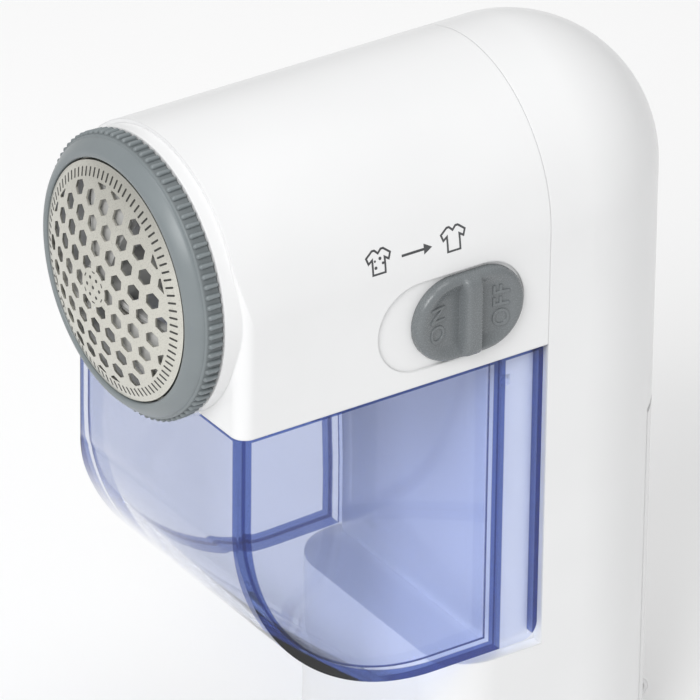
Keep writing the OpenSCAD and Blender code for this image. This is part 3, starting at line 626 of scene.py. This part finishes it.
class SHAVER_OT_knob(bpy.types.Operator):
    """Shape the switch knob with its finger rib, scoops and raised letters"""
    bl_idname = "shaver.knob"
    bl_label = "Switch knob"

    def execute(self, context):
        settings = context.scene.shaver_knob
        low, high = head_box("switch_knob")
        centre_x, centre_z = (low.x + high.x) / 2, (low.z + high.z) / 2
        half_l, radius = (high.x - low.x) / 2, (high.z - low.z) / 2
        seat = -BODY_R + 0.35
        top = seat - low.y
        straight = half_l - radius
        scoop = settings.scoop / MM

        def height(u, v):
            """Height of the knob's face above its seat, u along the head and v up."""
            inset = radius - math.hypot(max(abs(u) - straight, 0), v)
            rim = 1 - min(inset / KNOB_RIM, 1)
            level = KNOB_PROUD - KNOB_RIM * (1 - math.sqrt(max(0, 1 - rim * rim)))
            slope = min(max((abs(u) - 1.5) / 8.2, 0), 1)
            dip = min(max((inset - 0.7) / 2.4, 0), 1)
            level -= scoop * (1 - slope ** 1.6) * dip * dip * (3 - 2 * dip)
            crest = 1 - (abs(u) / RIB_HALF) ** 6
            ends = 1 - (abs(v) / (radius - 0.35)) ** 10
            if crest > 0 and ends > 0:
                level = max(level, top * math.sqrt(math.sqrt(crest * ends)))
            return level

        bm = bmesh.new()
        bmesh.ops.create_circle(bm, cap_ends=True, segments=128, radius=radius,
                                matrix=Matrix.Rotation(math.pi / 128, 4, "Z"))
        for v in bm.verts:
            v.co.x += math.copysign(straight, v.co.x)
        bm.normal_update()
        for _ in range(5):
            bmesh.ops.inset_region(bm, faces=[max(bm.faces, key=lambda f: f.calc_area())],
                                   thickness=0.22, use_even_offset=True, use_boundary=True)
        for i in range(-29, 30):
            bmesh.ops.bisect_plane(bm, geom=bm.verts[:] + bm.edges[:] + bm.faces[:],
                                   plane_co=(i * 0.37, 0, 0), plane_no=(1, 0, 0))
        for i in range(-13, 14):
            bmesh.ops.bisect_plane(bm, geom=bm.verts[:] + bm.edges[:] + bm.faces[:],
                                   plane_co=(0, i * 0.53, 0), plane_no=(0, 1, 0))
        for v in bm.verts:
            v.co.z = height(v.co.x, v.co.y)
        rim = [e for e in bm.edges if e.is_boundary]
        skirt = bmesh.ops.extrude_edge_only(bm, edges=rim)["geom"]
        for v in (g for g in skirt if isinstance(g, bmesh.types.BMVert)):
            v.co.z = 0.0
        bmesh.ops.holes_fill(bm, edges=[e for e in bm.edges if e.is_boundary], sides=0)
        bmesh.ops.recalc_face_normals(bm, faces=bm.faces)
        stem = bmesh.ops.create_cube(bm, size=1.0)["verts"]
        bmesh.ops.scale(bm, vec=STEM, verts=stem)
        bmesh.ops.translate(bm, vec=(0, 0, -1.05), verts=stem)
        if settings.letters:
            for word, place in WORDS:
                self.raise_word(bm, word, settings.letter_height / MM, place, height)
        stand = (Matrix.Translation((centre_x, seat, centre_z))
                 @ Matrix.Rotation(math.pi / 2, 4, "X"))
        bmesh.ops.transform(bm, matrix=stand, verts=bm.verts)
        finish = moulded_plastic("grey_knob_plastic", tuple(settings.colour), 0.27, edge=0.12)
        finished_piece("sliding_knob", bm, "knob", finish,
                       smooth=math.radians(50), replaces=("switch_knob",))
        return {"FINISHED"}

    def raise_word(self, bm, word, size, place, height):
        """Raises a word on the knob's face, reading upwards, centred at place."""
        curve = bpy.data.curves.new(word, "FONT")
        curve.body, curve.size = word, size * 1.38
        curve.align_x, curve.align_y = "CENTER", "CENTER"
        curve.extrude, curve.bevel_depth, curve.bevel_resolution = 0.1, 0.06, 1
        curve.space_character = 1.12
        text = bpy.data.objects.new(word, curve)
        bpy.context.scene.collection.objects.link(text)
        bpy.context.view_layer.update()
        mesh = bpy.data.meshes.new_from_object(text)
        bpy.data.objects.remove(text)
        mesh.transform(Matrix.Translation((place, 0, 0)) @ Matrix.Rotation(math.pi / 2, 4, "Z"))
        before = len(bm.verts)
        bm.from_mesh(mesh)
        bm.verts.ensure_lookup_table()
        for v in bm.verts[before:]:
            v.co.z += height(v.co.x, v.co.y) + 0.06
        bpy.data.meshes.remove(mesh)


class SHAVER_OT_container(bpy.types.Operator):
    """Round the moulded edges of the clear lint container"""
    bl_idname = "shaver.container"
    bl_label = "Lint container"

    def execute(self, context):
        settings = context.scene.shaver_container
        bm = bmesh.new()
        bm.from_mesh(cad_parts["lint_container"].data)
        bmesh.ops.transform(bm, matrix=HEAD.inverted(), verts=bm.verts)
        bmesh.ops.remove_doubles(bm, verts=bm.verts, dist=0.002)
        bmesh.ops.dissolve_limit(bm, angle_limit=math.radians(0.6), verts=bm.verts, edges=bm.edges)
        sharp = [e for e in bm.edges if len(e.link_faces) == 2 and e.calc_face_angle(0) > 0.6]
        round_edges(bm, sharp, settings.edge / MM, 3)
        finished_piece("clear_lint_container", bm, "container",
                       clear_container(settings), smooth=math.radians(25),
                       replaces=("lint_container",))
        return {"FINISHED"}


class SHAVER_OT_print(bpy.types.Operator):
    """Print the sign on the housing: a shirt with pills, an arrow and a clean shirt"""
    bl_idname = "shaver.print"
    bl_label = "Printed sign"

    def execute(self, context):
        settings = context.scene.shaver_print
        size = settings.height / MM
        bm = bmesh.new()
        for place in SHIRTS_AT:
            self.shirt(bm, place, size)
        for x, z, r in ((33.6, 0.30, 0.28), (35.0, 0.42, 0.24), (34.5, 0.62, 0.28), (33.5, 0.56, 0.2)):
            bmesh.ops.create_circle(bm, cap_ends=True, segments=14, radius=r,
                                    matrix=Matrix.Translation((x, z * size, 0)))
        shaft = bmesh.ops.create_grid(bm, x_segments=6, y_segments=1, size=0.5)["verts"]
        bmesh.ops.scale(bm, vec=(ARROW_LENGTH, 0.42, 1), verts=shaft)
        bmesh.ops.translate(bm, vec=(ARROW_AT, size * 0.45, 0), verts=shaft)
        bmesh.ops.create_circle(bm, cap_ends=True, segments=3, radius=1.05,
                                matrix=Matrix.Translation((ARROW_TIP, size * 0.45, 0))
                                @ Matrix.Rotation(-math.pi / 2, 4, "Z"))
        for i in range(1, round(size / PRINT_STEP)):
            bmesh.ops.bisect_plane(bm, geom=bm.verts[:] + bm.edges[:] + bm.faces[:],
                                   plane_co=(0, i * PRINT_STEP, 0), plane_no=(0, 1, 0))
        layer = bmesh.ops.extrude_face_region(bm, geom=bm.faces[:])["geom"]
        raised = [g for g in layer if isinstance(g, bmesh.types.BMVert)]
        bmesh.ops.translate(bm, verts=raised, vec=(0, 0, INK_DEPTH))
        bmesh.ops.recalc_face_normals(bm, faces=bm.faces)
        for v in bm.verts:
            z = SIGN_FOOT + v.co.y
            v.co = (v.co.x, -math.sqrt(BODY_R ** 2 - z ** 2) + 0.02 - v.co.z, z)
        ink = moulded_plastic("printed_ink", tuple(settings.colour), 0.45, grain=0.2, mottle=0.12)
        finished_piece("printed_sign", bm, "body", ink)
        return {"FINISHED"}

    def shirt(self, bm, place, size):
        """Adds a shirt's outline, drawn with a line of even width."""
        half = [(0.5, 0.0), (0.5, 0.56), (0.74, 0.46), (0.92, 0.76), (0.42, 1.0), (0.2, 1.0), (0.0, 0.88)]
        outline = half + [(-x, z) for x, z in reversed(half[:-1])]
        verts = [bm.verts.new((place + x * size * 0.62, z * size, 0)) for x, z in outline]
        face = bm.faces.new(verts)
        bm.normal_update()
        bmesh.ops.inset_region(bm, faces=[face], thickness=0.34, use_even_offset=True,
                               use_boundary=True)
        bmesh.ops.delete(bm, geom=[face], context="FACES_ONLY")


class SHAVER_OT_inner(bpy.types.Operator):
    """Finish the cutter, motor, switch, cells, wiring and screws"""
    bl_idname = "shaver.inner"
    bl_label = "Inner parts"

    def execute(self, context):
        steel = worked_metal("plated_steel", (0.6, 0.6, 0.6), 0.3, (0.14, "X"))
        copper = wound_copper()
        brass = worked_metal("rolled_brass", (0.68, 0.5, 0.22), 0.3, (0.1, "X"), tarnish=0.3)
        black = moulded_plastic("black_moulded_plastic", (0.03, 0.03, 0.032), 0.42)
        white = moulded_plastic("white_inner_plastic", (0.72, 0.73, 0.74), 0.5, depth=0.01)
        finishes = {
            "foil_clamp_ring": moulded_plastic("grey_clamp_plastic", (0.16, 0.18, 0.19), 0.5),
            "cutter_carrier": moulded_plastic("grey_cutter_plastic", (0.5, 0.5, 0.49), 0.5),
            "cutter_blades": worked_metal("ground_blade_steel", (0.7, 0.7, 0.7), 0.2, (0.08, "X")),
            "motor_can": worked_metal("zinc_plated_can", (0.56, 0.57, 0.57), 0.34, (0.3, "X"), 0.006),
            "motor_magnets": ferrite(),
            "armature_core": stacked_laminations(),
            "motor_end_cap": moulded_plastic("ivory_nylon", (0.72, 0.68, 0.55), 0.5, depth=0.01),
            "cell_a": cell_sleeve(),
            "lead_red": insulation("red_insulation", (0.5, 0.02, 0.02)),
            "lead_black": insulation("black_insulation", (0.02, 0.02, 0.02)),
        }
        finishes["cell_b"] = finishes["cell_a"]
        finishes["lead_motor"] = finishes["lead_red"]
        for shared, nodes in (
            (steel, ("cutter_spring", "drive_shaft", "motor_screws", "bulkhead_screws", "contact_bridge",
                     "contact_plates", "contact_springs", "housing_screws", "cover_hinge_pin")),
            (copper, ("armature_windings", "commutator")),
            (brass, ("motor_brushes", "motor_bushes", "switch_terminals")),
            (black, ("switch_slider", "switch_case")),
            (white, ("motor_bulkhead", "battery_tray")),
        ):
            finishes.update((node, shared) for node in nodes)
        for node, finish in finishes.items():
            give(finish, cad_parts[node])
        return {"FINISHED"}


class SHAVER_OT_stage(bpy.types.Operator):
    """Set the floor, the soft lights and the camera"""
    bl_idname = "shaver.stage"
    bl_label = "Stage"

    def execute(self, context):
        settings = context.scene.shaver_stage
        scene = context.scene
        scene.view_settings.view_transform = "Standard"
        bm = bmesh.new()
        bmesh.ops.create_grid(bm, x_segments=8, y_segments=8, size=4.0)
        mesh = bpy.data.meshes.new("floor")
        bmesh.ops.translate(bm, verts=bm.verts, vec=(0, 0, -0.0002))
        bm.to_mesh(mesh)
        bm.free()
        floor = bpy.data.objects.new("floor", mesh)
        scene.collection.objects.link(floor)
        paper = Finish("pale_floor", Specular_IOR_Level=0.2)
        tone = paper.noise(180.0, 2.0, 0.5)
        pale = tuple(settings.floor)
        paper.drive("Base Color", paper.blend(tone, shade(pale, 0.985), shade(pale, 1.01)))
        paper.drive("Roughness", 0.7 + (tone - 0.5) * 0.1)
        give(paper, floor)

        world = bpy.data.worlds.new("soft_room")
        world.use_nodes = True
        room = world.node_tree.nodes["Background"].inputs
        room["Color"].default_value = (1.0, 1.0, 1.0, 1.0)
        room["Strength"].default_value = 0.55
        scene.world = world

        for name, place, size, power in (
            ("key_light", (-1.3, -0.8, 1.3), 0.9, 21.0),
            ("top_light", (-0.1, -0.2, 1.9), 1.0, 8.0),
            ("back_light", (0.3, 1.3, 1.3), 1.0, 1.2),
        ):
            lamp = bpy.data.lights.new(name, "AREA")
            lamp.size, lamp.energy = size, power
            holder = bpy.data.objects.new(name, lamp)
            holder.location = place
            holder.rotation_euler = (AIM - Vector(place)).to_track_quat("-Z", "Y").to_euler()
            holder.visible_camera = False
            scene.collection.objects.link(holder)

        level = math.cos(settings.elevation)
        look = Vector((math.sin(settings.azimuth) * level, math.cos(settings.azimuth) * level,
                       -math.sin(settings.elevation)))
        lens = bpy.data.cameras.new("camera")
        lens.sensor_width, lens.lens = 36.0, settings.lens
        lens.clip_start, lens.clip_end = 0.05, 30.0
        camera = bpy.data.objects.new("camera", lens)
        camera.location = AIM - look * settings.distance
        turn = look.to_track_quat("-Z", "Y") @ Quaternion((0, 0, 1), settings.roll)
        camera.rotation_euler = turn.to_euler()
        scene.collection.objects.link(camera)
        scene.camera = camera
        return {"FINISHED"}


class SHAVER_PT_pieces(bpy.types.Panel):
    """The shaver's pieces, each with its settings"""
    bl_label = "Fabric shaver"
    bl_space_type = "VIEW_3D"
    bl_region_type = "UI"
    bl_category = "Shaver"

    def draw(self, context):
        for operator, group in PIECES:
            box = self.layout.box()
            box.operator(operator.bl_idname)
            if group:
                settings = getattr(context.scene, group)
                for name in settings.__annotations__:
                    box.prop(settings, name)


SETTINGS = {
    "shaver_shells": ShellSettings,
    "shaver_ring": RingSettings,
    "shaver_foil": FoilSettings,
    "shaver_knob": KnobSettings,
    "shaver_container": ContainerSettings,
    "shaver_print": PrintSettings,
    "shaver_stage": StageSettings,
}
PIECES = (
    (SHAVER_OT_stage, "shaver_stage"),
    (SHAVER_OT_shells, "shaver_shells"),
    (SHAVER_OT_ring, "shaver_ring"),
    (SHAVER_OT_foil, "shaver_foil"),
    (SHAVER_OT_knob, "shaver_knob"),
    (SHAVER_OT_container, "shaver_container"),
    (SHAVER_OT_print, "shaver_print"),
    (SHAVER_OT_inner, None),
)


def register():
    for group in SETTINGS.values():
        bpy.utils.register_class(group)
    for operator, _ in PIECES:
        bpy.utils.register_class(operator)
    bpy.utils.register_class(SHAVER_PT_pieces)
    for name, group in SETTINGS.items():
        setattr(bpy.types.Scene, name, PointerProperty(type=group))


def unregister():
    for name in SETTINGS:
        delattr(bpy.types.Scene, name)
    bpy.utils.unregister_class(SHAVER_PT_pieces)
    for operator, _ in PIECES:
        bpy.utils.unregister_class(operator)
    for group in SETTINGS.values():
        bpy.utils.unregister_class(group)


def main():
    register()
    bpy.ops.shaver.stage()
    bpy.ops.shaver.shells()
    bpy.ops.shaver.ring()
    bpy.ops.shaver.foil()
    bpy.ops.shaver.knob()
    bpy.ops.shaver.container()
    bpy.ops.shaver.print()
    bpy.ops.shaver.inner()


if __name__ == "__main__":
    main()
